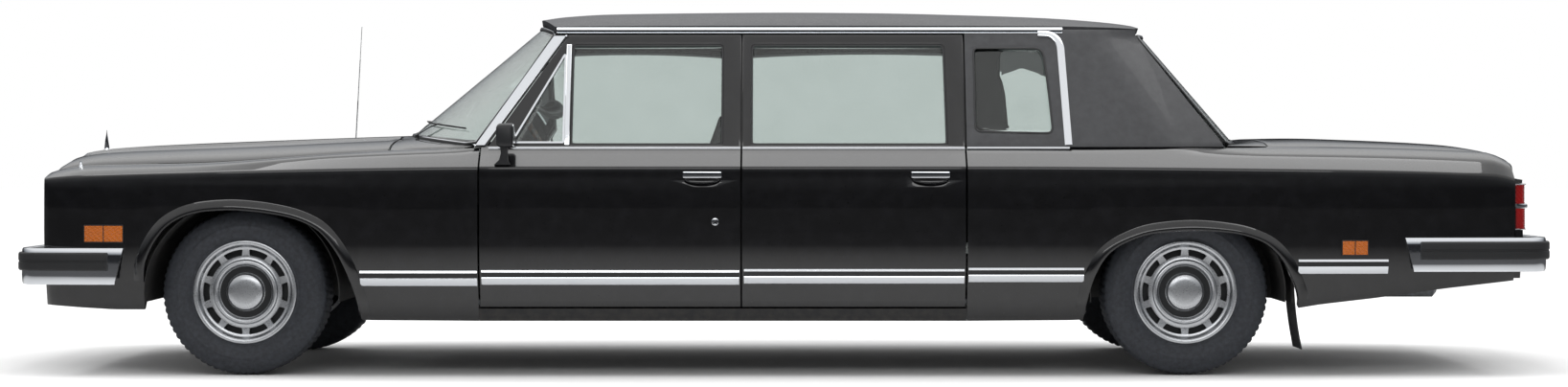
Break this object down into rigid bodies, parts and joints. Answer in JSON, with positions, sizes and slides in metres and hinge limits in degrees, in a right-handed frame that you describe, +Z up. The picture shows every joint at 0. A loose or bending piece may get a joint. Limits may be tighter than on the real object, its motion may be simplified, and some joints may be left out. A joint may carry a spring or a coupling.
{
  "type": "long four-door limousine",
  "caption": "Long black four-door limousine with opening doors, bonnet and boot, steering and free wheels.",
  "frame": {"origin": "on the ground, under the middle of the overall length and width", "axes": "+X towards the tail, -X towards the nose, -Y the car's left side, +Z up"},
  "size_m": [6.3394, 2.18, 1.525],
  "materials": {
    "paint": "gloss black enamel",
    "paint_matte": "dark grey satin panel",
    "underbody": "satin black frame enamel",
    "chrome": "polished plate",
    "steel": "bare or dull steel",
    "wheel_silver": "satin pressed cover",
    "glass": "clear with a faint green tint",
    "lamp_clear": "clear lamp lens",
    "lamp_orange": "moulded orange lens",
    "lamp_red": "moulded red lens",
    "rubber": "moulded black rubber",
    "tyre": "tread rubber",
    "plastic": "grained black plastic",
    "upholstery": "dark grey cloth"
  },
  "bodies": {
    "root": {"chassis_frame": "underbody", "floor_pan": "underbody", "inner_panels": "underbody", "cowl": "paint", "front_wings": "paint", "rear_quarters": "paint", "sail_panels": "paint_matte", "front_panel": "paint", "tail_panel": "paint", "roof": "paint_matte", "pillars": "paint", "windscreen": "glass", "rear_window": "glass", "quarter_glass": "glass", "grille": "chrome", "headlamps": "lamp_clear", "front_bumper": "chrome", "rear_bumper": "chrome", "bumper_rubbers": "rubber", "marker_lamps": "lamp_orange", "tail_lamps": "lamp_red", "body_trim": "chrome", "front_seats": "upholstery", "rear_seat": "upholstery", "dashboard": "plastic", "partition": "plastic", "powertrain": "steel", "rear_axle": "underbody", "front_suspension": "underbody", "exhaust": "steel", "fuel_tank": "underbody", "mud_flaps": "rubber", "wipers": "plastic", "antenna": "chrome"},
    "hood": {"hood": "paint", "hood_ornament": "chrome"},
    "boot_lid": {"boot_lid": "paint"},
    "door_front_left": {"door_front_left": "paint", "glass_front_left": "glass", "fittings_front_left": "chrome"},
    "door_front_right": {"door_front_right": "paint", "glass_front_right": "glass", "fittings_front_right": "chrome"},
    "door_rear_left": {"door_rear_left": "paint", "glass_rear_left": "glass", "fittings_rear_left": "chrome"},
    "door_rear_right": {"door_rear_right": "paint", "glass_rear_right": "glass", "fittings_rear_right": "chrome"},
    "knuckle_left": {"knuckle_left": "underbody"},
    "knuckle_right": {"knuckle_right": "underbody"},
    "steering_wheel": {"steering_wheel": "plastic"},
    "wheel_front_left": {"wheel_front_left": "wheel_silver", "tyre_front_left": "tyre"},
    "wheel_front_right": {"wheel_front_right": "wheel_silver", "tyre_front_right": "tyre"},
    "wheel_rear_left": {"wheel_rear_left": "wheel_silver", "tyre_rear_left": "tyre"},
    "wheel_rear_right": {"wheel_rear_right": "wheel_silver", "tyre_rear_right": "tyre"}
  },
  "joints": [
    {"name": "hood_hinge", "type": "hinge", "parent": "root", "child": "hood", "pos_m": [-1.65, 0, 0.996], "axis": [0, 1, 0], "range_deg": [0, 50]},
    {"name": "boot_hinge", "type": "hinge", "parent": "root", "child": "boot_lid", "pos_m": [2.02, 0, 0.984], "axis": [0, -1, 0], "range_deg": [0, 60]},
    {"name": "door_front_left_hinge", "type": "hinge", "parent": "root", "child": "door_front_left", "pos_m": [-1.2465, -1.044, 0.6], "axis": [0, 0, -1], "range_deg": [0, 65]},
    {"name": "door_front_right_hinge", "type": "hinge", "parent": "root", "child": "door_front_right", "pos_m": [-1.2465, 1.044, 0.6], "axis": [0, 0, 1], "range_deg": [0, 65]},
    {"name": "door_rear_left_hinge", "type": "hinge", "parent": "root", "child": "door_rear_left", "pos_m": [-0.1715, -1.044, 0.6], "axis": [0, 0, -1], "range_deg": [0, 65]},
    {"name": "door_rear_right_hinge", "type": "hinge", "parent": "root", "child": "door_rear_right", "pos_m": [-0.1715, 1.044, 0.6], "axis": [0, 0, 1], "range_deg": [0, 65]},
    {"name": "steer_left", "type": "hinge", "parent": "root", "child": "knuckle_left", "pos_m": [-2.224, -0.741, 0.342], "axis": [0, 0, 1], "range_deg": [-30, 30]},
    {"name": "steer_right", "type": "hinge", "parent": "root", "child": "knuckle_right", "pos_m": [-2.224, 0.741, 0.342], "axis": [0, 0, 1], "range_deg": [-30, 30]},
    {"name": "steering_wheel_turn", "type": "hinge", "parent": "root", "child": "steering_wheel", "pos_m": [-0.924, -0.4, 0.946], "axis": [0.8746, 0, 0.4848], "range_deg": [-450, 450]},
    {"name": "spin_front_left", "type": "hinge", "parent": "knuckle_left", "child": "wheel_front_left", "pos_m": [-2.224, -0.821, 0.342], "axis": [0, 1, 0], "continuous": true},
    {"name": "spin_front_right", "type": "hinge", "parent": "knuckle_right", "child": "wheel_front_right", "pos_m": [-2.224, 0.821, 0.342], "axis": [0, 1, 0], "continuous": true},
    {"name": "spin_rear_left", "type": "hinge", "parent": "root", "child": "wheel_rear_left", "pos_m": [1.656, -0.821, 0.342], "axis": [0, 1, 0], "continuous": true},
    {"name": "spin_rear_right", "type": "hinge", "parent": "root", "child": "wheel_rear_right", "pos_m": [1.656, 0.821, 0.342], "axis": [0, 1, 0], "continuous": true}
  ],
  "couplings": [
    {"joint": "steer_right", "follows": "steer_left", "ratio": 1},
    {"joint": "steering_wheel_turn", "follows": "steer_left", "ratio": 15}
  ]
}
